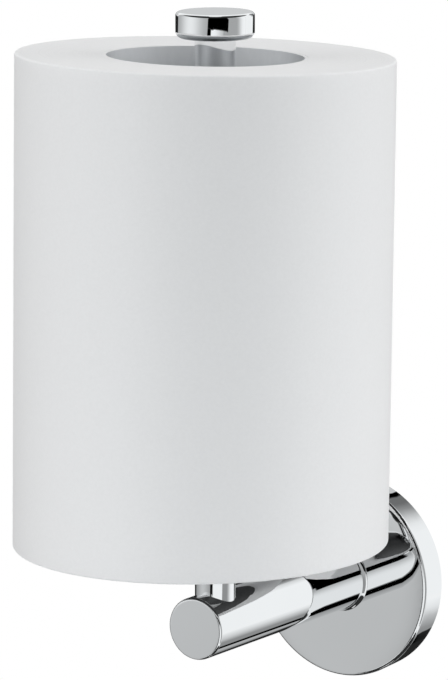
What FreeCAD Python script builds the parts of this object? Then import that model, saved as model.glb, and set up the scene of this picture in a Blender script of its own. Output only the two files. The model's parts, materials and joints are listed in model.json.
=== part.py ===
import FreeCAD, Part
import Sketcher
import math
import os
import re

# A chromed wall holder for a spare toilet roll: a round rosette, a level arm and an upright rod
# with a flat cap. Millimetres, +Z up, wall face at y = 0, arm along -Y, origin at the wall.

SIZES = {
    # Rosette: a hollow round cover. Its flat face bends off gently and then faster to the edge.
    "rosette_diameter": 43.0,
    "rosette_back_diameter": 42.4,
    "rosette_depth": 7.3,
    "rosette_wall": 2.3,
    "rosette_face_thickness": 2.2,
    "rosette_flat_diameter": 32.0,
    "rosette_bend_diameter": 37.2,
    "rosette_bend_drop": 0.06,
    "rosette_roll_off": 0.4,
    "rosette_edge_round": 0.9,
    # Wall bracket: a shallow cup, screwed to the wall, that the rosette is pushed over.
    "bracket_gap": 0.3,
    "bracket_base": 2.0,
    "bracket_rim": 2.2,
    "bracket_bore": 17.0,
    "wall_hole_diameter": 4.5,
    "wall_hole_spacing": 25.0,
    # Grub screw in the rosette's underside, biting in a dimple of the bracket's rim.
    "grub_diameter": 4.0,
    "grub_socket": 2.0,
    "grub_socket_depth": 1.6,
    "grub_sunk": 0.25,
    "dimple_depth": 1.0,
    # Arm: a turned bar with a flared foot against the rosette.
    "arm_diameter": 13.0,
    "arm_overhang": 7.5,
    "arm_end_round": 0.6,
    "foot_rise": 0.65,
    "foot_length": 1.3,
    "arm_spigot_diameter": 8.0,
    "arm_spigot_length": 1.8,
    # Screw, washer and dowel that fix the arm to the rosette from behind.
    "arm_screw_diameter": 5.0,
    "arm_screw_length": 14.0,
    "arm_screw_head_diameter": 9.0,
    "arm_screw_head_height": 2.7,
    "arm_screw_socket": 3.0,
    "arm_screw_socket_depth": 1.5,
    "washer_diameter": 11.5,
    "washer_thickness": 1.0,
    "dowel_diameter": 1.6,
    "dowel_length": 3.8,
    # Rod: upright, let into the arm by its full diameter and screwed down by a spigot.
    "rod_diameter": 8.4,
    "rod_reach": 54.4,
    "rod_seat_height": 1.0,
    "rod_top": 120.8,
    "rod_spigot_diameter": 5.0,
    "rod_spigot_length": 5.4,
    # Cap: a flat disc, rounder below than above, on a headless stud.
    "cap_diameter": 16.0,
    "cap_height": 5.3,
    "cap_round": 0.8,
    "cap_base_round": 1.3,
    "stud_diameter": 4.0,
    "stud_length": 9.6,
    "stud_in_cap": 3.2,
    "stud_socket": 2.0,
    "stud_socket_depth": 1.6,
    # Roll seat: a flanged disc that turns on the rod and carries the roll.
    "seat_diameter": 46.0,
    "seat_thickness": 2.0,
    "seat_hub_diameter": 12.0,
    "seat_hub_height": 3.4,
    "seat_edge_round": 0.5,
    # Open retaining ring in a groove of the rod, under the seat's hub.
    "clip_diameter": 12.0,
    "clip_thickness": 0.8,
    "clip_depth": 0.5,
    "clip_mouth": 3.4,
    # Toilet roll: paper wound on a cardboard core, standing a little off the rod's centre.
    "roll_diameter": 77.2,
    "roll_height": 100.0,
    "roll_base_height": 17.0,
    "roll_edge_round": 0.9,
    "roll_shift_x": 2.1,
    "roll_shift_y": 1.4,
    "core_bore": 40.0,
    "core_wall": 0.8,
    # Clearances: close fits, the turning seat, the standing roll and blind hole ends.
    "fit_gap": 0.05,
    "seat_bore_gap": 0.3,
    "resting_gap": 0.1,
    "hole_end_gap": 0.3,
    # Length by which every cut runs past the face that it opens.
    "overrun": 1.0,
}

# Sizes that follow from the ones above, as formulas on the sheet's names.
cavity_depth = "(rosette_depth - rosette_face_thickness)"
rosette_bore_radius = "(rosette_back_diameter / 2 - rosette_wall)"
bracket_radius = f"({rosette_bore_radius} - bracket_gap)"
bracket_height = f"({cavity_depth} - bracket_gap)"
grub_height = f"({cavity_depth} / 2)"
grub_tip_radius = f"({bracket_radius} - dimple_depth + fit_gap)"
grub_length = f"(rosette_back_diameter / 2 - grub_sunk - {grub_tip_radius})"
spigot_hole_radius = "(arm_spigot_diameter / 2 + fit_gap)"
arm_length = "(rod_reach + arm_overhang - rosette_depth)"
arm_bore_radius = "(arm_screw_diameter / 2 + fit_gap)"
screw_in_arm = "(arm_screw_length - washer_thickness - rosette_face_thickness + arm_spigot_length)"
dowel_offset = "((arm_spigot_diameter + arm_diameter) / 4)"
dowel_hole_radius = "(dowel_diameter / 2 + fit_gap)"
dowel_in_arm = "(dowel_length - rosette_face_thickness + hole_end_gap)"
rod_length = "(rod_top - rod_seat_height)"
rod_hole_radius = "(rod_diameter / 2 + fit_gap)"
spigot_bore_radius = "(rod_spigot_diameter / 2 + fit_gap)"
stud_hole_radius = "(stud_diameter / 2 + fit_gap)"
stud_in_rod = "(stud_length - stud_in_cap)"
seat_top = "(roll_base_height - resting_gap)"
seat_base = f"({seat_top} - seat_thickness - seat_hub_height)"
clip_base = f"({seat_base} - resting_gap - clip_thickness)"
clip_inner_radius = "(rod_diameter / 2 - clip_depth + fit_gap)"
core_radius = "(core_bore / 2 + core_wall)"
paper_bore_radius = f"({core_radius} + fit_gap)"

# Turns that point a piece's own +Z axis up, away from the wall, towards the wall or down.
UPRIGHT = FreeCAD.Rotation()
ALONG_ARM = FreeCAD.Rotation(FreeCAD.Vector(1, 0, 0), 90)
TOWARDS_WALL = FreeCAD.Rotation(FreeCAD.Vector(1, 0, 0), -90)
POINTING_DOWN = FreeCAD.Rotation(FreeCAD.Vector(1, 0, 0), 180)
HEXAGON_SIDES = 6
FULL_TURN = 360

# Two places nearer than this share of a close fit count as the same one.
SAME_PLACE_SHARE = 0.01

doc = FreeCAD.newDocument("spare_roll_holder")
sheet = doc.addObject("Spreadsheet::Sheet", "sizes")
for row, (name, value) in enumerate(SIZES.items(), start=1):
    sheet.set(f"A{row}", name)
    sheet.set(f"B{row}", str(value))
    sheet.setAlias(f"B{row}", name)
doc.recompute()


def on_sheet(formula):
    """The formula with each size's name written as the sheet's own cell."""
    return re.sub(r"[a-z_]+", lambda word: f"sizes.{word[0]}" if word[0] in SIZES else word[0], formula)


def number(formula):
    """The formula's present value."""
    return float(sheet.evalExpression(formula))


same_place = number("fit_gap") * SAME_PLACE_SHARE


def bind(item, prop, formula):
    item.setExpression(prop, on_sheet(formula))


def new_body(label):
    body = doc.addObject("PartDesign::Body", label)
    body.Label = label
    return body


def new_sketch(body, name, role, height="0"):
    """A sketch on one of the body's own origin planes, moved along the plane's normal."""
    sketch = body.newObject("Sketcher::SketchObject", f"{body.Name}_{name}")
    plane = next(item for item in body.Origin.OriginFeatures if item.Role == role)
    sketch.AttachmentSupport = [(plane, "")]
    sketch.MapMode = "FlatFace"
    bind(sketch, "AttachmentOffset.Base.z", height)
    return sketch


def pin_point(sketch, geometry, point, across, along):
    """Ties a point of a sketch to the sheet, by its distances from the sketch's two axes."""
    for kind, axis, formula in (("DistanceX", -2, across), ("DistanceY", -1, along)):
        if number(formula) == 0:
            sketch.addConstraint(Sketcher.Constraint("PointOnObject", geometry, point, axis))
        else:
            tie = sketch.addConstraint(Sketcher.Constraint(kind, -1, 1, geometry, point, number(formula)))
            sketch.setExpression(f"Constraints[{tie}]", on_sheet(formula))


def tangent_arc(start, end, heading):
    """The arc that leaves start along heading and ends at end."""
    chord = end - start
    side = FreeCAD.Vector(-heading.y, heading.x, 0)
    radius = chord.dot(chord) / (2 * chord.dot(side))
    centre = start + side * radius
    middle = (start + end) / 2 - centre
    return Part.Arc(start, centre + middle.normalize() * abs(radius), end)


def turned(label, outline):
    """A body of revolution about its own Z axis.

    The outline is a closed list of corners, each a radius and a height. A third entry makes the
    side that arrives at that corner an arc, tangent to the side before it.
    """
    body = new_body(label)
    sketch = new_sketch(body, "outline", "XZ_Plane")
    corners = [FreeCAD.Vector(number(corner[0]), number(corner[1]), 0) for corner in outline]
    ends = []
    for index, start in enumerate(corners):
        arrival = (index + 1) % len(corners)
        end = corners[arrival]
        chord = end - start
        if len(outline[arrival]) > 2:
            geometry = sketch.addGeometry(tangent_arc(start, end, heading))
            heading = chord * (2 * chord.dot(heading) / chord.dot(chord)) - heading
        else:
            geometry = sketch.addGeometry(Part.LineSegment(start, end))
            heading = chord.normalize()
        first = 1 if sketch.getPoint(geometry, 1).isEqual(start, same_place) else 2
        ends.append((geometry, first, 3 - first))
    for index, (geometry, first, last) in enumerate(ends):
        before = ends[index - 1]
        meeting = "Tangent" if len(outline[(index + 1) % len(outline)]) > 2 else "Coincident"
        sketch.addConstraint(Sketcher.Constraint(meeting, before[0], before[2], geometry, first))
        pin_point(sketch, geometry, first, outline[index][0], outline[index][1])
    revolution = body.newObject("PartDesign::Revolution", f"{label}_turned")
    revolution.Profile = sketch
    revolution.ReferenceAxis = (sketch, ["V_Axis"])
    revolution.Angle = FULL_TURN
    doc.recompute()
    return body


def round_edges(body, radius, *circles):
    """Rounds the circular edges of the body that have these radii and heights."""
    wanted = [(number(across), number(along)) for across, along in circles]
    base = body.Tip
    names = []
    for index, edge in enumerate(base.Shape.Edges, start=1):
        if edge.Curve.TypeId != "Part::GeomCircle":
            continue
        place = (edge.Curve.Radius, edge.Curve.Center.z)
        if any(math.dist(place, target) < same_place for target in wanted):
            names.append(f"Edge{index}")
    if len(names) != len(circles):
        raise RuntimeError(f"{body.Label}: {len(names)} of {len(circles)} edges found to round")
    fillet = body.newObject("PartDesign::Fillet", f"{body.Name}_round")
    fillet.Base = (base, names)
    bind(fillet, "Radius", radius)
    doc.recompute()


def drill(body, name, role, radius, centres, start="0", depth=None, backwards=False):
    """Cuts round holes whose axes are square to one of the body's origin planes."""
    sketch = new_sketch(body, name, role, start)
    for across, along in centres:
        middle = FreeCAD.Vector(number(across), number(along), 0)
        circle = sketch.addGeometry(Part.Circle(middle, FreeCAD.Vector(0, 0, 1), number(radius)))
        pin_point(sketch, circle, 3, across, along)
        tie = sketch.addConstraint(Sketcher.Constraint("Radius", circle, number(radius)))
        sketch.setExpression(f"Constraints[{tie}]", on_sheet(radius))
    cut_away(body, name, sketch, depth, backwards)


def cut_away(body, name, sketch, depth, backwards):
    """A pocket of the sketch, by a depth or right through, that has to take something off."""
    before = body.Shape.Volume
    pocket = body.newObject("PartDesign::Pocket", f"{body.Name}_{name}_cut")
    pocket.Profile = sketch
    pocket.Reversed = backwards
    if depth is None:
        pocket.Type = "ThroughAll"
    else:
        bind(pocket, "Length", depth)
    doc.recompute()
    if body.Shape.Volume >= before:
        raise RuntimeError(f"{body.Label}: the cut {name} took nothing off")


def hex_socket(body, across_flats, depth, height):
    """A hexagonal key socket, sunk from the given height of the body's own axis."""
    sketch = new_sketch(body, "socket", "XY_Plane", height)
    corner_radius = number(across_flats) / (2 * math.cos(math.pi / HEXAGON_SIDES))
    turns = [2 * math.pi * side / HEXAGON_SIDES for side in range(HEXAGON_SIDES)]
    corners = [FreeCAD.Vector(math.cos(turn), math.sin(turn), 0) * corner_radius for turn in turns]
    for side, corner in enumerate(corners):
        sketch.addGeometry(Part.LineSegment(corner, corners[(side + 1) % HEXAGON_SIDES]))
    guide = sketch.addGeometry(Part.Circle(FreeCAD.Vector(), FreeCAD.Vector(0, 0, 1), corner_radius), True)
    sketch.addConstraint(Sketcher.Constraint("Coincident", guide, 3, -1, 1))
    for side in range(HEXAGON_SIDES):
        following = (side + 1) % HEXAGON_SIDES
        sketch.addConstraint(Sketcher.Constraint("Coincident", side, 2, following, 1))
        sketch.addConstraint(Sketcher.Constraint("PointOnObject", side, 1, guide))
        if side:
            sketch.addConstraint(Sketcher.Constraint("Equal", 0, side))
    sketch.addConstraint(Sketcher.Constraint("PointOnObject", 0, 1, -1))
    tie = sketch.addConstraint(Sketcher.Constraint("Radius", guide, corner_radius))
    across_corners = f"{across_flats} / cos(180 deg / {HEXAGON_SIDES})"
    sketch.setExpression(f"Constraints[{tie}]", on_sheet(f"{across_corners} / 2"))
    cut_away(body, "socket", sketch, depth, False)


def place(body, rotation, across="0", along="0", height="0"):
    """Sets a body in the holder's frame, with its position bound to the sheet."""
    body.Placement = FreeCAD.Placement(FreeCAD.Vector(), rotation)
    for axis, formula in (("x", across), ("y", along), ("z", height)):
        bind(body, f"Placement.Base.{axis}", formula)


def make_wall_bracket():
    inner = f"({bracket_radius} - bracket_rim)"
    body = turned("wall_bracket", [
        ("bracket_bore / 2", "0"),
        (bracket_radius, "0"),
        (bracket_radius, bracket_height),
        (inner, bracket_height),
        (inner, "bracket_base"),
        ("bracket_bore / 2", "bracket_base"),
    ])
    centres = [("wall_hole_spacing / 2", "0"), ("-wall_hole_spacing / 2", "0")]
    drill(body, "wall_holes", "XY_Plane", "wall_hole_diameter / 2", centres, backwards=True)
    dimple_floor = f"{bracket_radius} - dimple_depth"
    drill(body, "dimple", "XZ_Plane", "grub_diameter / 2 + fit_gap", [("0", grub_height)], dimple_floor,
          backwards=True)
    place(body, ALONG_ARM)


def make_rosette():
    edge = ("rosette_diameter / 2", "rosette_depth - rosette_roll_off")
    body = turned("rosette", [
        (rosette_bore_radius, "0"),
        (rosette_bore_radius, cavity_depth),
        (spigot_hole_radius, cavity_depth),
        (spigot_hole_radius, "rosette_depth"),
        ("rosette_flat_diameter / 2", "rosette_depth"),
        ("rosette_bend_diameter / 2", "rosette_depth - rosette_bend_drop", "arc"),
        (*edge, "arc"),
        ("rosette_back_diameter / 2", "0"),
    ])
    round_edges(body, "rosette_edge_round", edge)
    drill(body, "grub_hole", "XZ_Plane", "grub_diameter / 2 + fit_gap", [("0", grub_height)],
          f"{rosette_bore_radius} - overrun", backwards=True)
    drill(body, "dowel_hole", "XY_Plane", dowel_hole_radius, [("0", f"-{dowel_offset}")], backwards=True)
    place(body, ALONG_ARM)


def make_rosette_grub_screw():
    body = turned("rosette_grub_screw", [
        ("0", "0"),
        ("grub_diameter / 2", "0"),
        ("grub_diameter / 2", grub_length),
        ("0", grub_length),
    ])
    hex_socket(body, "grub_socket", "grub_socket_depth", grub_length)
    place(body, POINTING_DOWN, along=f"-{grub_height}", height=f"-{grub_tip_radius}")


def make_arm():
    end_edge = ("arm_diameter / 2", f"arm_spigot_length + {arm_length}")
    body = turned("arm", [
        (arm_bore_radius, "0"),
        (arm_bore_radius, f"{screw_in_arm} + hole_end_gap"),
        ("0", f"{screw_in_arm} + hole_end_gap"),
        ("0", end_edge[1]),
        end_edge,
        ("arm_diameter / 2", "arm_spigot_length + foot_length"),
        ("arm_diameter / 2 + foot_rise", "arm_spigot_length", "arc"),
        ("arm_spigot_diameter / 2", "arm_spigot_length"),
        ("arm_spigot_diameter / 2", "0"),
    ])
    round_edges(body, "arm_end_round", end_edge)
    rod_centre = [("0", "rod_reach - rosette_depth + arm_spigot_length")]
    drill(body, "rod_hole", "XZ_Plane", rod_hole_radius, rod_centre, "-rod_seat_height")
    drill(body, "rod_spigot_hole", "XZ_Plane", spigot_bore_radius, rod_centre, "-rod_seat_height",
          "rod_spigot_length + hole_end_gap", backwards=True)
    drill(body, "dowel_hole", "XY_Plane", dowel_hole_radius, [("0", f"-{dowel_offset}")],
          "arm_spigot_length", dowel_in_arm, backwards=True)
    place(body, ALONG_ARM, along="arm_spigot_length - rosette_depth")


def make_arm_fasteners():
    dowel = turned("arm_dowel", [
        ("0", "0"),
        ("dowel_diameter / 2", "0"),
        ("dowel_diameter / 2", "dowel_length"),
        ("0", "dowel_length"),
    ])
    place(dowel, ALONG_ARM, along=f"-{cavity_depth}", height=f"-{dowel_offset}")
    washer = turned("arm_washer", [
        (arm_bore_radius, "0"),
        ("washer_diameter / 2", "0"),
        ("washer_diameter / 2", "washer_thickness"),
        (arm_bore_radius, "washer_thickness"),
    ])
    place(washer, ALONG_ARM, along=f"washer_thickness - {cavity_depth}")
    head_edge = ("arm_screw_head_diameter / 2", "arm_screw_length + arm_screw_head_height")
    screw = turned("arm_screw", [
        ("0", "0"),
        ("arm_screw_diameter / 2", "0"),
        ("arm_screw_diameter / 2", "arm_screw_length"),
        ("arm_screw_head_diameter / 2", "arm_screw_length"),
        head_edge,
        ("0", head_edge[1]),
    ])
    round_edges(screw, "arm_screw_head_height / 2", head_edge)
    hex_socket(screw, "arm_screw_socket", "arm_screw_socket_depth", head_edge[1])
    place(screw, TOWARDS_WALL, along=f"washer_thickness - {cavity_depth} - arm_screw_length")


def make_rod():
    groove_base = f"({clip_base} - rod_seat_height - fit_gap)"
    groove_top = f"({groove_base} + clip_thickness + 2 * fit_gap)"
    groove_radius = "(rod_diameter / 2 - clip_depth)"
    hole_floor = f"({rod_length} - {stud_in_rod} - hole_end_gap)"
    body = turned("rod", [
        ("0", "0"),
        ("rod_spigot_diameter / 2", "0"),
        ("rod_spigot_diameter / 2", "rod_spigot_length"),
        ("rod_diameter / 2", "rod_spigot_length"),
        ("rod_diameter / 2", f"rod_spigot_length + {groove_base}"),
        (groove_radius, f"rod_spigot_length + {groove_base}"),
        (groove_radius, f"rod_spigot_length + {groove_top}"),
        ("rod_diameter / 2", f"rod_spigot_length + {groove_top}"),
        ("rod_diameter / 2", f"rod_spigot_length + {rod_length}"),
        (stud_hole_radius, f"rod_spigot_length + {rod_length}"),
        (stud_hole_radius, f"rod_spigot_length + {hole_floor}"),
        ("0", f"rod_spigot_length + {hole_floor}"),
    ])
    place(body, UPRIGHT, along="-rod_reach", height="rod_seat_height - rod_spigot_length")


def make_cap():
    body = turned("cap", [
        (stud_hole_radius, "0"),
        ("cap_diameter / 2", "0"),
        ("cap_diameter / 2", "cap_height"),
        ("0", "cap_height"),
        ("0", "stud_in_cap + hole_end_gap"),
        (stud_hole_radius, "stud_in_cap + hole_end_gap"),
    ])
    round_edges(body, "cap_round", ("cap_diameter / 2", "cap_height"))
    round_edges(body, "cap_base_round", ("cap_diameter / 2", "0"))
    place(body, UPRIGHT, along="-rod_reach", height="rod_top")
    stud = turned("cap_stud", [
        ("0", "0"),
        ("stud_diameter / 2", "0"),
        ("stud_diameter / 2", "stud_length"),
        ("0", "stud_length"),
    ])
    hex_socket(stud, "stud_socket", "stud_socket_depth", "stud_length")
    place(stud, UPRIGHT, along="-rod_reach", height=f"rod_top - {stud_in_rod}")


def make_roll_seat():
    bore = "(rod_diameter / 2 + seat_bore_gap)"
    top = "seat_hub_height + seat_thickness"
    body = turned("roll_seat", [
        (bore, "0"),
        ("seat_hub_diameter / 2", "0"),
        ("seat_hub_diameter / 2", "seat_hub_height"),
        ("seat_diameter / 2", "seat_hub_height"),
        ("seat_diameter / 2", top),
        (bore, top),
    ])
    round_edges(body, "seat_edge_round", ("seat_diameter / 2", "seat_hub_height"),
                ("seat_diameter / 2", top))
    place(body, UPRIGHT, along="-rod_reach", height=seat_base)


def make_seat_clip():
    body = turned("seat_clip", [
        (clip_inner_radius, "0"),
        ("clip_diameter / 2", "0"),
        ("clip_diameter / 2", "clip_thickness"),
        (clip_inner_radius, "clip_thickness"),
    ])
    sketch = new_sketch(body, "mouth", "XY_Plane")
    half_mouth = "clip_mouth / 2"
    places = [(f"{sign}{half_mouth}", y) for sign, y in (
        ("-", "0"), ("", "0"), ("", "clip_diameter"), ("-", "clip_diameter"))]
    corners = [FreeCAD.Vector(number(x), number(y), 0) for x, y in places]
    for index, corner in enumerate(corners):
        sketch.addGeometry(Part.LineSegment(corners[index - 1], corner))
    for index, (x, y) in enumerate(places):
        following = (index + 1) % len(places)
        sketch.addConstraint(Sketcher.Constraint("Coincident", index, 2, following, 1))
        pin_point(sketch, index, 2, x, y)
    cut_away(body, "mouth", sketch, None, True)
    place(body, UPRIGHT, along="-rod_reach", height=clip_base)


def make_roll():
    core = turned("roll_core", [
        ("core_bore / 2", "0"),
        (core_radius, "0"),
        (core_radius, "roll_height"),
        ("core_bore / 2", "roll_height"),
    ])
    paper = turned("paper_roll", [
        (paper_bore_radius, "0"),
        ("roll_diameter / 2", "0"),
        ("roll_diameter / 2", "roll_height"),
        (paper_bore_radius, "roll_height"),
    ])
    round_edges(paper, "roll_edge_round", ("roll_diameter / 2", "0"), ("roll_diameter / 2", "roll_height"))
    for body in (core, paper):
        place(body, UPRIGHT, "-roll_shift_x", "-rod_reach - roll_shift_y", "roll_base_height")


make_wall_bracket()
make_rosette()
make_rosette_grub_screw()
make_arm()
make_arm_fasteners()
make_rod()
make_cap()
make_roll_seat()
make_seat_clip()
make_roll()
doc.recompute()

# Nothing is written unless every feature came out whole.
for item in doc.Objects:
    if "Invalid" in item.State or "Error" in item.State:
        raise RuntimeError(f"{item.Label} failed: {item.State}")
bodies = [item for item in doc.Objects if item.TypeId == "PartDesign::Body"]
for body in bodies:
    if body.Shape.isNull() or not body.Shape.isValid() or len(body.Shape.Solids) != 1:
        raise RuntimeError(f"{body.Label} isn't one valid solid")

os.makedirs("parts", exist_ok=True)
for body in bodies:
    body.Shape.exportStep(f"parts/{body.Label}.step")
    print(body.Label, round(body.Shape.Volume, 1), "mm3")
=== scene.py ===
import json
import math

import bmesh
import bpy
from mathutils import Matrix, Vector


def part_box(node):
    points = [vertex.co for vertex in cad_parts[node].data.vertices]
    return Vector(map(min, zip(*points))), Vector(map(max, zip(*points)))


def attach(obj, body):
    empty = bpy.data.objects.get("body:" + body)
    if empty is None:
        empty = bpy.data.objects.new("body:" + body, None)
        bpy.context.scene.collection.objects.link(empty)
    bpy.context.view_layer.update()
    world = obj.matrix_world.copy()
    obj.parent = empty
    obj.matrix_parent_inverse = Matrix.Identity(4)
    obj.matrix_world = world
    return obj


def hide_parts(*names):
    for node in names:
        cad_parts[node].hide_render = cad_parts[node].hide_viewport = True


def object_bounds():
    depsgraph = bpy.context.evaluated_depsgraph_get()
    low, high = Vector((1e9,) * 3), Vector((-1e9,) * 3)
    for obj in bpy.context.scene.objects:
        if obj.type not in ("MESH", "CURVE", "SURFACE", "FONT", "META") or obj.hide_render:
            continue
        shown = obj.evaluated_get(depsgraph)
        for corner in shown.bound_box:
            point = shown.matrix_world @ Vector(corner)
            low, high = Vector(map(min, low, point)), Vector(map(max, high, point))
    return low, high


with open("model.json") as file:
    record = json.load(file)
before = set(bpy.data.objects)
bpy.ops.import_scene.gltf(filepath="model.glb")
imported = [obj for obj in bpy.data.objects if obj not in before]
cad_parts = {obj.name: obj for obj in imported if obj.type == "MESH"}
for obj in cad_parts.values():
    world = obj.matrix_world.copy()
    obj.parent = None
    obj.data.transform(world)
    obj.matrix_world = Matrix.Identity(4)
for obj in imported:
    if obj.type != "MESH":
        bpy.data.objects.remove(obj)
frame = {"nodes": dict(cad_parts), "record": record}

# The spare roll holder's looks: polished chrome, a white paper roll on its cardboard core, and a
# plain white studio. Metres, +Z up, wall at y = 0. Azimuths and elevations are in degrees.

CAD_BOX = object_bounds()
MM = 0.001

# Camera: the photograph's viewing angle, measured from the front, and its frame.
CAMERA_AZIMUTH = 34.15
CAMERA_ELEVATION = 10.43
CAMERA_DISTANCE = 0.9448
CAMERA_TARGET = Vector((2.16 * MM, -54.4 * MM, 59.2 * MM))
FRAME_HEIGHT_PIXELS = 680
FOCAL_LENGTH_PIXELS = 4650
SENSOR_HEIGHT_MM = 24.0

# Shading: edges that turn more than this stay sharp, and points closer than this are joined.
SHARP_ANGLE = math.radians(40)
SEAM_WIDTH = 0.001 * MM

# Paper roll: it leans to the camera's right, and its ends are not quite square. Slopes are rises
# per length, towards the camera's right and towards the camera. The base is flat on the seat.
ROLL_LEAN = 1.15 * MM
TOP_RAISE = 0.27 * MM
TOP_SLOPES = (-0.021, 0.018)
TOP_DISH = 0.35 * MM
BASE_SLOPES = (0.0117, 0.0)
BASE_FLAT_RADIUS = 24.0 * MM
ROLL_EDGE_ROUND = 0.45 * MM
SHEET_STEP = 0.22 * MM
SHEET_END_AZIMUTH = 205.0
SHEET_END_WIDTH = 1.2
CORE_WALL = 0.8 * MM
CORE_RECESS = 0.05 * MM

# Faces of the roll's meshes: round them, across the ends, along the sides and over the edges.
ROLL_SIDES = 360
END_RINGS = 24
SIDE_ROWS = 40
BORE_ROWS = 8
CORE_ROWS = 12
EDGE_STEPS = 5

# Floor: a disc below the holder that is solid up to a share of its radius. Its lift is a light of
# its own that only the camera and metal see.
FLOOR_DROP = 3.0
FLOOR_RADIUS = 1.0
FLOOR_SOLID_SHARE = 0.4
FLOOR_COLOUR = (0.8, 0.8, 0.8, 1)
FLOOR_LIFT = 0.35
FLOOR_SIDES = 96
FLOOR_RINGS = 24

# Light: a plain sky whose level changes about the horizon, and a cool tint.
WHITE = (1, 1, 1)
COOL_WHITE = (0.97, 1.0, 1.02)
HORIZON_BLUR = 0.5

# Reflection cards: they lie on upright cylinders round the rod, a gap inside each other. The near
# layer is far inside, close to the arm.
TENT_RADIUS = 0.32
CARD_GAP = 1.0 * MM
NEAR_LAYER = 200
CARD_TINT = (0.98, 1.0, 1.01, 1)
CARD_COLUMNS = 48
CARD_ROWS = 24
CARD_FADE_STEPS = 4


def facing(azimuth, elevation):
    """The direction at an azimuth from the front, towards +X, and an elevation."""
    turn = math.radians(azimuth)
    rise = math.radians(elevation)
    return Vector((math.sin(turn) * math.cos(rise), -math.cos(turn) * math.cos(rise), math.sin(rise)))


def smooth_step(low, high, value):
    """0 below low, 1 above high, and smooth between them."""
    share = min(max((value - low) / (high - low), 0.0), 1.0)
    return share * share * (3 - 2 * share)


def between(low, high, share):
    """The value at a share of the way from low to high."""
    return low + (high - low) * share


def even(low, high, count):
    """Evenly spaced values from low to high, with count steps between them."""
    return [low + (high - low) * step / count for step in range(count + 1)]


def add_mesh(name, mesh, material):
    """A new object of a finished bmesh."""
    data = bpy.data.meshes.new(name)
    mesh.to_mesh(data)
    mesh.free()
    data.materials.append(material)
    piece = bpy.data.objects.new(name, data)
    bpy.context.scene.collection.objects.link(piece)
    return piece


# Finishes


class Shader:
    """A node material under construction, with one Principled shader."""

    def __init__(self, name, **constants):
        self.material = bpy.data.materials.new(name)
        self.material.use_nodes = True
        self.tree = self.material.node_tree
        self.principled = self.tree.nodes["Principled BSDF"]
        for socket, value in constants.items():
            self.principled.inputs[socket.replace("_", " ")].default_value = value

    def add(self, kind, links=None, values=None, **settings):
        """A node of that kind, with its settings, input links and input values."""
        node = self.tree.nodes.new(kind)
        for name, value in settings.items():
            setattr(node, name, value)
        for socket, value in (values or {}).items():
            node.inputs[socket].default_value = value
        for socket, output in (links or {}).items():
            self.tree.links.new(output, node.inputs[socket])
        return node

    def link(self, output, socket):
        """Leads an output to an input of the Principled shader."""
        self.tree.links.new(output, self.principled.inputs[socket])

    def position(self):
        """Places on the piece, in metres of its own frame."""
        return self.add("ShaderNodeTexCoord").outputs["Object"]

    def slant(self):
        """1 where the surface faces up, 0 where it is upright and -1 where it faces down."""
        normal = self.add("ShaderNodeNewGeometry").outputs["True Normal"]
        return self.add("ShaderNodeSeparateXYZ", {0: normal}).outputs["Z"]

    def noise(self, place, scale, detail=2.0):
        """Soft noise from 0 to 1, with scale as its cells per metre."""
        values = {"Scale": scale, "Detail": detail}
        return self.add("ShaderNodeTexNoise", {"Vector": place}, values).outputs["Fac"]

    def stretch(self, place, scale):
        """Places times a scale along each axis."""
        return self.add("ShaderNodeVectorMath", {0: place}, {1: scale}, operation="MULTIPLY").outputs[0]

    def remap(self, value, low, high, from_low=0.0, from_high=1.0):
        """A value from one range brought to the range from low to high."""
        limits = {"From Min": from_low, "From Max": from_high, "To Min": low, "To Max": high}
        return self.add("ShaderNodeMapRange", {"Value": value}, limits).outputs["Result"]

    def math(self, operation, first, second=None):
        """An operation on one or two terms, each an output or a number."""
        links = {}
        values = {}
        for index, term in enumerate((first, second)):
            if isinstance(term, (int, float)):
                values[index] = term
            elif term is not None:
                links[index] = term
        return self.add("ShaderNodeMath", links, values, operation=operation).outputs[0]

    def colour(self, value, dark, light):
        """A colour between two, each a triple or an output, by a value from 0 to 1."""
        links = {"Factor": value}
        values = {}
        for socket, end in (("A", dark), ("B", light)):
            if isinstance(end, tuple):
                values[socket] = (*end, 1)
            else:
                links[socket] = end
        return self.add("ShaderNodeMix", links, values, data_type="RGBA").outputs["Result"]

    def bump(self, height, strength, distance):
        """Tilts the surface's normal as a height of that distance would."""
        bump = self.add("ShaderNodeBump", {"Height": height}, {"Strength": strength, "Distance": distance})
        self.link(bump.outputs["Normal"], "Normal")


def chrome_plate():
    """Polished chrome: a mirror with a slight haze that changes from place to place."""
    shader = Shader("chrome_plate", Metallic=1.0)
    haze = shader.noise(shader.position(), scale=90.0, detail=4.0)
    shader.link(shader.colour(haze, dark=(0.845, 0.855, 0.86), light=(0.87, 0.875, 0.88)), "Base Color")
    shader.link(shader.remap(haze, low=0.008, high=0.02, from_low=0.35, from_high=0.7), "Roughness")
    return shader.material


def zinc_plate():
    """Zinc-plated steel with a mottled grey finish."""
    shader = Shader("zinc_plate", Metallic=1.0)
    spangle = shader.noise(shader.position(), scale=400.0, detail=3.0)
    shader.link(shader.colour(spangle, dark=(0.50, 0.51, 0.52), light=(0.62, 0.63, 0.64)), "Base Color")
    shader.link(shader.remap(spangle, low=0.28, high=0.48), "Roughness")
    shader.bump(spangle, strength=0.1, distance=0.02 * MM)
    return shader.material


def plain_steel():
    """Bright screw steel with fine turning marks round its length."""
    shader = Shader("plain_steel", Metallic=1.0)
    marks = shader.noise(shader.stretch(shader.position(), (0.15, 1.0, 0.15)), scale=3000.0)
    shader.link(shader.colour(marks, dark=(0.46, 0.46, 0.46), light=(0.58, 0.58, 0.57)), "Base Color")
    shader.link(shader.remap(marks, low=0.22, high=0.38), "Roughness")
    shader.bump(marks, strength=0.15, distance=0.02 * MM)
    return shader.material


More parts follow.
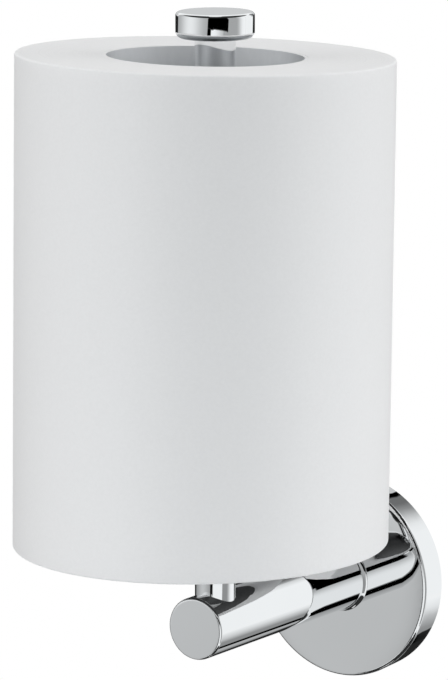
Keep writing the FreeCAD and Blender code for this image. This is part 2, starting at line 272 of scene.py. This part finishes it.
def seat_plastic():
    """Black moulded plastic with a fine matt grain."""
    shader = Shader("seat_plastic", Specular_IOR_Level=0.4)
    grain = shader.noise(shader.position(), scale=2500.0, detail=3.0)
    shader.link(shader.colour(grain, dark=(0.042, 0.042, 0.043), light=(0.058, 0.058, 0.059)), "Base Color")
    shader.link(shader.remap(grain, low=0.4, high=0.6), "Roughness")
    shader.bump(grain, strength=0.15, distance=0.02 * MM)
    return shader.material


def core_board():
    """Grey cardboard with fibres, and paler where it is cut."""
    shader = Shader("core_board", Specular_IOR_Level=0.3)
    fibre = shader.noise(shader.stretch(shader.position(), (1.0, 1.0, 0.35)), scale=900.0, detail=5.0)
    grey = shader.colour(fibre, dark=(0.72, 0.74, 0.76), light=(0.79, 0.81, 0.83))
    cut = shader.remap(shader.slant(), low=0.0, high=1.0, from_low=0.4, from_high=0.9)
    shader.link(shader.colour(cut, dark=grey, light=(0.85, 0.855, 0.86)), "Base Color")
    shader.link(shader.remap(fibre, low=0.8, high=0.95), "Roughness")
    shader.bump(fibre, strength=0.3, distance=0.05 * MM)
    return shader.material


def tissue_paper():
    """White tissue: soft crepe and fibres, and the edges of its wound layers at the roll's ends."""
    shader = Shader("tissue_paper", Specular_IOR_Level=0.15, Sheen_Weight=0.1, Sheen_Roughness=0.6)
    place = shader.position()
    fibre = shader.noise(place, scale=1500.0, detail=5.0)
    crepe = shader.noise(shader.stretch(place, (1.0, 1.0, 0.12)), scale=1100.0, detail=3.0)
    low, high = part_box("paper_roll")
    axis = (-(low.x + high.x) / 2, -(low.y + high.y) / 2, 0)
    around = shader.add("ShaderNodeVectorMath", {0: place}, {1: axis}, operation="ADD").outputs[0]
    flat = shader.stretch(around, (1.0, 1.0, 0.0))
    reach = shader.add("ShaderNodeVectorMath", {0: flat}, operation="LENGTH").outputs["Value"]
    spacing = {"Scale": 2200.0, "Detail": 3.0}
    layers = shader.add("ShaderNodeTexNoise", {"W": reach}, spacing, noise_dimensions="1D").outputs["Fac"]
    level = shader.math("ABSOLUTE", shader.slant())
    end_face = shader.remap(level, low=0.0, high=1.0, from_low=0.7, from_high=0.95)
    grooves = shader.remap(layers, low=0.0, high=1.0, from_low=0.3, from_high=0.7)
    rings = shader.math("MULTIPLY", grooves, end_face)
    height = shader.math("ADD", shader.math("ADD", fibre, crepe), rings)
    shade = shader.math("SUBTRACT", fibre, shader.math("MULTIPLY", rings, 0.5))
    shader.link(shader.colour(shade, dark=(0.82, 0.825, 0.83), light=(0.87, 0.875, 0.88)), "Base Color")
    shader.link(shader.remap(crepe, low=0.85, high=0.97), "Roughness")
    shader.bump(height, strength=0.25, distance=0.05 * MM)
    return shader.material


def even_shading(piece):
    """Smooths a turned piece's shading across the seams of its faces. Its corners stay sharp."""
    seams = piece.modifiers.new("join_seams", "WELD")
    seams.merge_threshold = SEAM_WIDTH
    corners = piece.modifiers.new("keep_corners", "EDGE_SPLIT")
    corners.split_angle = SHARP_ANGLE
    normals = piece.modifiers.new("even_normals", "WEIGHTED_NORMAL")
    normals.mode = "FACE_AREA"


# The paper roll


def roll_radius(azimuth, outer):
    """The outer sheet's radius: it grows over a turn and drops back at the sheet's end."""
    turn = ((azimuth - SHEET_END_AZIMUTH) % 360.0) / 360.0
    end = smooth_step(1 - SHEET_END_WIDTH / 360.0, 1.0, turn)
    return outer - SHEET_STEP * (1 - turn) * (1 - end) - SHEET_STEP * end


def quarter_round(radius, height, first):
    """A quarter turn about a place of the half section, clockwise from a first angle."""
    turns = [math.radians(angle) for angle in even(first, first - 90, EDGE_STEPS)]
    return [(radius + ROLL_EDGE_ROUND * math.cos(turn), height + ROLL_EDGE_ROUND * math.sin(turn))
            for turn in turns]


def roll_outline(outer, inner, low, high):
    """Half section of the roll: places round it as a radius and a height, closed."""
    shoulder = outer - ROLL_EDGE_ROUND
    top_round = quarter_round(shoulder, high - ROLL_EDGE_ROUND, 90)
    base_round = quarter_round(shoulder, low + ROLL_EDGE_ROUND, 0)
    radii = even(inner, shoulder, END_RINGS)[:-1]
    side_heights = even(top_round[-1][1], base_round[0][1], SIDE_ROWS)[1:-1]
    bore_heights = even(low, high, BORE_ROWS)[1:-1]
    top = [(radius, high) for radius in radii]
    side = [(outer, height) for height in side_heights]
    base = [(radius, low) for radius in reversed(radii)]
    bore = [(inner, height) for height in bore_heights]
    return top + top_round + side + base_round + base + bore


def turned_mesh(outline, place):
    """A closed ring of a half section; place gives a point for an azimuth, radius and height."""
    mesh = bmesh.new()
    rows = []
    for side in range(ROLL_SIDES):
        azimuth = 360.0 * side / ROLL_SIDES
        rows.append([mesh.verts.new(place(azimuth, radius, height)) for radius, height in outline])
    for side in range(ROLL_SIDES):
        here = rows[side]
        there = rows[(side + 1) % ROLL_SIDES]
        for index in range(len(outline)):
            following = (index + 1) % len(outline)
            mesh.faces.new((here[index], here[following], there[following], there[index]))
    bmesh.ops.recalc_face_normals(mesh, faces=mesh.faces)
    for face in mesh.faces:
        face.smooth = True
    for edge in mesh.edges:
        edge.smooth = edge.calc_face_angle() < SHARP_ANGLE
    return mesh


def slope_rise(slopes, offsets):
    """How far a sloping end rises at offsets to the camera's right and towards the camera."""
    return slopes[0] * offsets[0] + slopes[1] * offsets[1]


def leaning(low, high, azimuth, radius, height):
    """A point of the roll, which leans a little and has sloping ends."""
    centre = (low + high) / 2
    outer = (high.x - low.x) / 2
    share = (height - low.z) / (high.z - low.z)
    rightwards = facing(CAMERA_AZIMUTH + 90, 0)
    reach = facing(azimuth, 0) * radius
    offsets = (reach.dot(rightwards), reach.dot(facing(CAMERA_AZIMUTH, 0)))
    top = TOP_RAISE + slope_rise(TOP_SLOPES, offsets) - TOP_DISH * (1 - radius / outer)
    base = slope_rise(BASE_SLOPES, offsets) * smooth_step(BASE_FLAT_RADIUS, outer, radius)
    rise = Vector((0, 0, between(base, top, share)))
    return Vector((centre.x, centre.y, height)) + reach + rightwards * ROLL_LEAN * (share - 0.5) + rise


def paper_roll(material):
    """The wound paper, in place of its plain solid."""
    low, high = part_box("paper_roll")
    core_low, core_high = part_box("roll_core")
    outer = (high.x - low.x) / 2
    inner = (core_high.x - core_low.x) / 2

    def place(azimuth, radius, height):
        share = (radius - inner) / (outer - inner)
        stretched = inner + (roll_radius(azimuth, outer) - inner) * share
        return leaning(low, high, azimuth, stretched, height)

    mesh = turned_mesh(roll_outline(outer, inner, low.z, high.z), place)
    piece = add_mesh("paper_winding", mesh, material)
    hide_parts("paper_roll")
    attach(piece, "roll")


def roll_core(material):
    """The cardboard tube, a little shorter than the paper, in place of its plain solid."""
    low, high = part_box("roll_core")
    roll_low, roll_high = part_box("paper_roll")
    outer = (high.x - low.x) / 2
    inner = outer - CORE_WALL
    heights = even(low.z + CORE_RECESS, high.z - CORE_RECESS, CORE_ROWS)
    outline = [(inner, height) for height in heights] + [(outer, height) for height in reversed(heights)]

    def place(azimuth, radius, height):
        return leaning(roll_low, roll_high, azimuth, radius, height)

    piece = add_mesh("core_tube", turned_mesh(outline, place), material)
    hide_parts("roll_core")
    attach(piece, "roll")


# Camera and light


def add_camera():
    """The photograph's camera."""
    camera = bpy.data.cameras.new("camera")
    camera.sensor_fit = "VERTICAL"
    camera.sensor_height = SENSOR_HEIGHT_MM
    camera.lens = SENSOR_HEIGHT_MM * FOCAL_LENGTH_PIXELS / FRAME_HEIGHT_PIXELS
    place = CAMERA_TARGET + facing(CAMERA_AZIMUTH, CAMERA_ELEVATION) * CAMERA_DISTANCE
    stand = bpy.data.objects.new("camera", camera)
    stand.rotation_euler = (CAMERA_TARGET - place).to_track_quat("-Z", "Y").to_euler()
    stand.location = place
    bpy.context.scene.collection.objects.link(stand)
    bpy.context.scene.camera = stand


def add_lamp(name, azimuth, elevation, distance, size, power, colour=WHITE):
    """A square soft lamp that points at the holder, at an azimuth from the camera to its right.

    Chrome shows the cards and not the lamps.
    """
    lamp = bpy.data.lights.new(name, "AREA")
    lamp.size = size
    lamp.energy = power
    lamp.color = colour
    stand = bpy.data.objects.new(name, lamp)
    ray = facing(CAMERA_AZIMUTH + azimuth, elevation)
    stand.location = CAMERA_TARGET + ray * distance
    stand.rotation_euler = (-ray).to_track_quat("-Z", "Y").to_euler()
    stand.visible_glossy = False
    bpy.context.scene.collection.objects.link(stand)


def seen_rays(tree):
    """1 for rays that the camera sends, straight or by way of metal or glass."""
    path = tree.nodes.new("ShaderNodeLightPath")
    total = path.outputs["Is Camera Ray"]
    for kind in ("Is Glossy Ray", "Is Transmission Ray"):
        larger = tree.nodes.new("ShaderNodeMath")
        larger.operation = "MAXIMUM"
        tree.links.new(total, larger.inputs[0])
        tree.links.new(path.outputs[kind], larger.inputs[1])
        total = larger.outputs[0]
    return total


def light_world(above, below):
    """White all round for the camera and for metal, and a plain soft light, mostly from above."""
    world = bpy.data.worlds.new("studio")
    bpy.context.scene.world = world
    world.use_nodes = True
    tree = world.node_tree
    white = tree.nodes["Background"]
    white.inputs["Color"].default_value = (*WHITE, 1)
    white.inputs["Strength"].default_value = 1.0
    soft = tree.nodes.new("ShaderNodeBackground")
    soft.inputs["Color"].default_value = (*WHITE, 1)
    direction = tree.nodes.new("ShaderNodeTexCoord")
    height = tree.nodes.new("ShaderNodeSeparateXYZ")
    tree.links.new(direction.outputs["Generated"], height.inputs[0])
    level = tree.nodes.new("ShaderNodeMapRange")
    level.interpolation_type = "SMOOTHSTEP"
    level.inputs["From Min"].default_value = -HORIZON_BLUR
    level.inputs["From Max"].default_value = HORIZON_BLUR
    level.inputs["To Min"].default_value = below
    level.inputs["To Max"].default_value = above
    tree.links.new(height.outputs["Z"], level.inputs["Value"])
    tree.links.new(level.outputs["Result"], soft.inputs["Strength"])
    mix = tree.nodes.new("ShaderNodeMixShader")
    tree.links.new(seen_rays(tree), mix.inputs["Fac"])
    tree.links.new(soft.outputs[0], mix.inputs[1])
    tree.links.new(white.outputs[0], mix.inputs[2])
    tree.links.new(mix.outputs[0], tree.nodes["World Output"].inputs["Surface"])


# Floor and cards


def bare_material(name):
    """A material whose tree has nothing but its output, and that tree."""
    material = bpy.data.materials.new(name)
    material.use_nodes = True
    tree = material.node_tree
    tree.nodes.remove(tree.nodes["Principled BSDF"])
    return material, tree


def reading(tree, name):
    """The number of that name that the mesh keeps at its points."""
    node = tree.nodes.new("ShaderNodeAttribute")
    node.attribute_name = name
    return node.outputs["Fac"]


def fade_out(tree, surface):
    """Puts a surface out that is as solid as the mesh's cover says, from 0 to 1."""
    clear = tree.nodes.new("ShaderNodeBsdfTransparent")
    mix = tree.nodes.new("ShaderNodeMixShader")
    tree.links.new(reading(tree, "cover"), mix.inputs["Fac"])
    tree.links.new(clear.outputs[0], mix.inputs[1])
    tree.links.new(surface, mix.inputs[2])
    tree.links.new(mix.outputs[0], tree.nodes["Material Output"].inputs["Surface"])


def floor_material():
    """A pale matt floor with a lift for the camera and for metal."""
    material, tree = bare_material("floor")
    diffuse = tree.nodes.new("ShaderNodeBsdfDiffuse")
    diffuse.inputs["Color"].default_value = FLOOR_COLOUR
    lift = tree.nodes.new("ShaderNodeEmission")
    scale = tree.nodes.new("ShaderNodeMath")
    scale.operation = "MULTIPLY"
    tree.links.new(seen_rays(tree), scale.inputs[0])
    scale.inputs[1].default_value = FLOOR_LIFT
    tree.links.new(scale.outputs[0], lift.inputs["Strength"])
    both = tree.nodes.new("ShaderNodeAddShader")
    tree.links.new(diffuse.outputs[0], both.inputs[0])
    tree.links.new(lift.outputs[0], both.inputs[1])
    fade_out(tree, both.outputs[0])
    return material


def card_material():
    """Light of its own, by the card's tone, that fades out towards the card's edges."""
    material, tree = bare_material("card")
    glow = tree.nodes.new("ShaderNodeEmission")
    glow.inputs["Color"].default_value = CARD_TINT
    tree.links.new(reading(tree, "tone"), glow.inputs["Strength"])
    fade_out(tree, glow.outputs[0])
    return material


CARD_MATERIAL = card_material()


def grid_mesh(across, along, place):
    """A grid of faces over two lists of values; place gives the point for one of each."""
    mesh = bmesh.new()
    verts = [[mesh.verts.new(place(first, second)) for second in along] for first in across]
    for column in range(len(across) - 1):
        for row in range(len(along) - 1):
            mesh.faces.new((verts[column][row], verts[column + 1][row],
                            verts[column + 1][row + 1], verts[column][row + 1]))
    return mesh


def store(piece, name, values):
    """Keeps a number at each point of the piece's mesh."""
    layer = piece.data.attributes.new(name, "FLOAT", "POINT")
    for entry, value in zip(layer.data, values):
        entry.value = value


def add_floor():
    """A pale round floor below the holder that fades out into the white."""
    centre = Vector((0, (CAD_BOX[0][1] + CAD_BOX[1][1]) / 2, CAD_BOX[0][2] - FLOOR_DROP))

    def place(turn, radius):
        return centre + facing(turn, 0) * radius

    mesh = grid_mesh(even(0, 360, FLOOR_SIDES), even(0, FLOOR_RADIUS, FLOOR_RINGS), place)
    floor = add_mesh("floor", mesh, floor_material())
    solid_radius = FLOOR_SOLID_SHARE * FLOOR_RADIUS
    reaches = [(vertex.co - centre).length for vertex in floor.data.vertices]
    store(floor, "cover", [1 - smooth_step(solid_radius, FLOOR_RADIUS, reach) for reach in reaches])
    floor.visible_diffuse = False


def card_ticks(fade_low, fade_high, count):
    """Shares across a card, close together where it fades."""
    rising = even(0, fade_low, CARD_FADE_STEPS)[:-1]
    falling = even(1 - fade_high, 1, CARD_FADE_STEPS)[1:]
    return rising + even(fade_low, 1 - fade_high, count) + falling


def card_cover(fades, across, along):
    """How solid a card is at a share across it and a share along it."""
    reaches = (across, 1 - across, along, 1 - along)
    return math.prod(smooth_step(0, fade, reach) for fade, reach in zip(fades, reaches))


def add_card(name, layer, edges, tone, fades):
    """A curved card of a tent round the rod, that only metal shows.

    Layers lie inside each other. The card's left and right edges each run from a low corner to a
    high one, and a corner is an azimuth from the camera, to its right, and a height. Fades are
    the shares of the card over which its left, right, low and high edges fade. The tone, with 1
    as white, is a number or follows from azimuth and height.
    """
    rod_low, rod_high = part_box("rod")
    centre = (rod_low + rod_high) / 2
    radius = TENT_RADIUS - layer * CARD_GAP

    def spot(across, along):
        """Azimuth and height at a share across the card and a share along it."""
        left, right = ([between(*pair, along) for pair in zip(*edge)] for edge in edges)
        return [between(*pair, across) for pair in zip(left, right)]

    def place(across, along):
        azimuth, height = spot(across, along)
        return Vector((centre.x, centre.y, height)) + facing(CAMERA_AZIMUTH + azimuth, 0) * radius

    columns = card_ticks(fades[0], fades[1], CARD_COLUMNS)
    rows = card_ticks(fades[2], fades[3], CARD_ROWS)
    card = add_mesh(name, grid_mesh(columns, rows, place), CARD_MATERIAL)
    shares = [(across, along) for across in columns for along in rows]
    store(card, "cover", [card_cover(fades, *share) for share in shares])
    store(card, "tone", [tone(*spot(*share)) if callable(tone) else tone for share in shares])
    for kind in ("camera", "diffuse", "transmission", "volume_scatter", "shadow"):
        setattr(card, f"visible_{kind}", False)


def upright(left, right, low, high):
    """The left and right edges of a card with upright sides."""
    return ((left, low), (left, high)), ((right, low), (right, high))


def left_tone(azimuth, height):
    """The left softbox: brightest in its middle, dimmer towards its ends and below."""
    peak = -76
    spread = 36
    middle = math.exp(-((azimuth - peak) / spread) ** 2)
    rise = smooth_step(-0.10, 0.087, height)
    ends = between(0.30, 0.40, rise)
    gain = between(0.267, 0.53, rise)
    return ends + gain * middle


def front_tone(azimuth, height):
    """The front panel: white below, dimmer towards its top."""
    return between(1.0, 0.40, smooth_step(-0.07, 0.085, height))


def right_tone(azimuth, height):
    """The right softbox: grey at its near end, white further back."""
    rise = smooth_step(-0.07, 0.087, height)
    grey = between(0.31, 0.42, rise)
    white_azimuth = between(100, 90, rise)
    return between(grey, 1.0, smooth_step(64, white_azimuth, azimuth))


def low_tone(azimuth, height):
    """Low at the right and back: white fading to grey further down, and darker at the back."""
    white_height = -0.095
    loss_per_metre = 4.7
    side_azimuth = 118
    loss_per_degree = 0.018 * smooth_step(0.115, 0.145, -height)
    loss = (white_height - height) * loss_per_metre + loss_per_degree * max(0, azimuth - side_azimuth)
    near = max(0.30, 1 - loss)
    back = between(0.50, 0.14, smooth_step(147, 172, azimuth))
    return between(near, back, smooth_step(140, 147, azimuth))


def glint_tone(azimuth, height):
    """The glint under the front flag: white at its left, dimmer to the right."""
    return between(1.0, 0.55, smooth_step(-5, 30, azimuth))


# The cards as name, layer, edges, tone and fades: soft boxes first, and the dark flags and gaps
# in front of them.
RIGHT_LINE_EDGES = ((136.5, -0.26), (140.5, -0.17)), ((146, -0.26), (150, -0.17))
FRONT_FLAG_EDGES = ((-22, 0.0872), (-22, 0.36)), ((39, 0.0855), (39, 0.36))
FRONT_GAP_EDGES = ((-39, -0.34), (-31, -0.05)), ((-12, -0.34), (-16.5, -0.05))
FRONT_SLIT_EDGES = ((-31, -0.06), (-24, 0.07)), ((-16.5, -0.06), (-18, 0.07))
CARDS = (
    ("left_softbox", 0, upright(-136, -12, -0.37, 0.36), left_tone, (0.01, 0.01, 0.01, 0.01)),
    ("front_panel", 0, upright(-12, 39, -0.37, 0.36), front_tone, (0.01, 0.01, 0.01, 0.01)),
    ("right_softbox", 1, upright(38, 100, -0.37, 0.36), right_tone, (0.01, 0.05, 0.01, 0.01)),
    ("right_back", 1, upright(99, 142, -0.10, 0.36), 1.0, (0.02, 0.02, 0.05, 0.01)),
    ("low_back", 2, upright(98, 180, -0.36, -0.085), low_tone, (0.05, 0.001, 0.02, 0.05)),
    ("low_ring", 3, upright(-180, 180, -2.9, -0.355), 0.03, (0.001, 0.001, 0.02, 0.002)),
    ("upper_ring", 3, upright(-137, 137, 0.33, 1.9), 0.03, (0.02, 0.02, 0.01, 0.05)),
    ("back_sky", 3, upright(137, 223, 0.19, 1.9), 1.0, (0.02, 0.02, 0.02, 0.02)),
    ("low_strip", 4, upright(-73, 110, -0.41, -0.30), 1.0, (0.08, 0.1, 0.4, 0.15)),
    ("low_left", 4, upright(-136, -74, -0.85, -0.35), 0.5, (0.03, 0.05, 0.5, 0.01)),
    ("back_top", 4, upright(140, 220, 0.12, 0.23), 0.64, (0.05, 0.05, 0.1, 0.1)),
    ("back_right", 5, upright(140, 180, -0.205, 0.14), 0.02, (0.03, 0.001, 0.03, 0.05)),
    ("back_left", 5, upright(-180, -134, -0.36, 0.14), 0.02, (0.001, 0.02, 0.02, 0.05)),
    ("rim_shade", 5, upright(124, 153, 0.09, 0.30), 0.17, (0.66, 0.02, 0.3, 0.15)),
    ("rim_line", 6, upright(148, 153, 0.10, 0.30), 0.0, (0.3, 0.1, 0.2, 0.2)),
    ("right_line", 6, RIGHT_LINE_EDGES, 0.0, (0.1, 0.1, 0.02, 0.1)),
    ("front_glint", 6, upright(-11, 30, 0.076, 0.090), glint_tone, (0.02, 0.2, 0.2, 0.05)),
    ("front_flag", 7, FRONT_FLAG_EDGES, 0.0, (0.02, 0.02, 0.002, 0.02)),
    ("front_leg", 7, upright(-22, -11, 0.07, 0.0875), 0.0, (0.1, 0.1, 0.1, 0.01)),
    ("front_gap", 8, FRONT_GAP_EDGES, 0.0, (0.1, 0.1, 0.02, 0.02)),
    ("front_slit", 9, FRONT_SLIT_EDGES, 0.0, (0.1, 0.1, 0.02, 0.1)),
    ("front_line", NEAR_LAYER, upright(0, 38, 0.0165, 0.06), 0.0, (0.1, 0.1, 0.03, 0.05)),
)

# The scene
finishes = {}
for make_finish in (chrome_plate, zinc_plate, plain_steel, seat_plastic, core_board, tissue_paper):
    finishes[make_finish.__name__] = make_finish()
for subpart in frame["record"]["subparts"]:
    node = frame["nodes"][subpart["node"]]
    node.data.materials.clear()
    node.data.materials.append(finishes[subpart["material_slot"]])
    if subpart["material_slot"] == "chrome_plate":
        even_shading(node)

paper_roll(finishes["tissue_paper"])
roll_core(finishes["core_board"])
add_camera()
light_world(above=0.42, below=0.02)
add_lamp("left_lamp", azimuth=-80, elevation=12, distance=1.0, size=0.7, power=5.0)
add_lamp("right_lamp", azimuth=95, elevation=8, distance=1.0, size=0.7, power=6.1)
add_lamp("top_lamp", azimuth=0, elevation=80, distance=1.0, size=0.8, power=3.55)
add_lamp("low_fill", azimuth=5, elevation=-20, distance=0.55, size=0.3, power=1.16, colour=COOL_WHITE)
add_lamp("under_lamp", azimuth=0, elevation=-85, distance=0.5, size=0.5, power=1.0)
add_floor()
for card in CARDS:
    add_card(*card)
bpy.context.scene.view_settings.view_transform = "Standard"
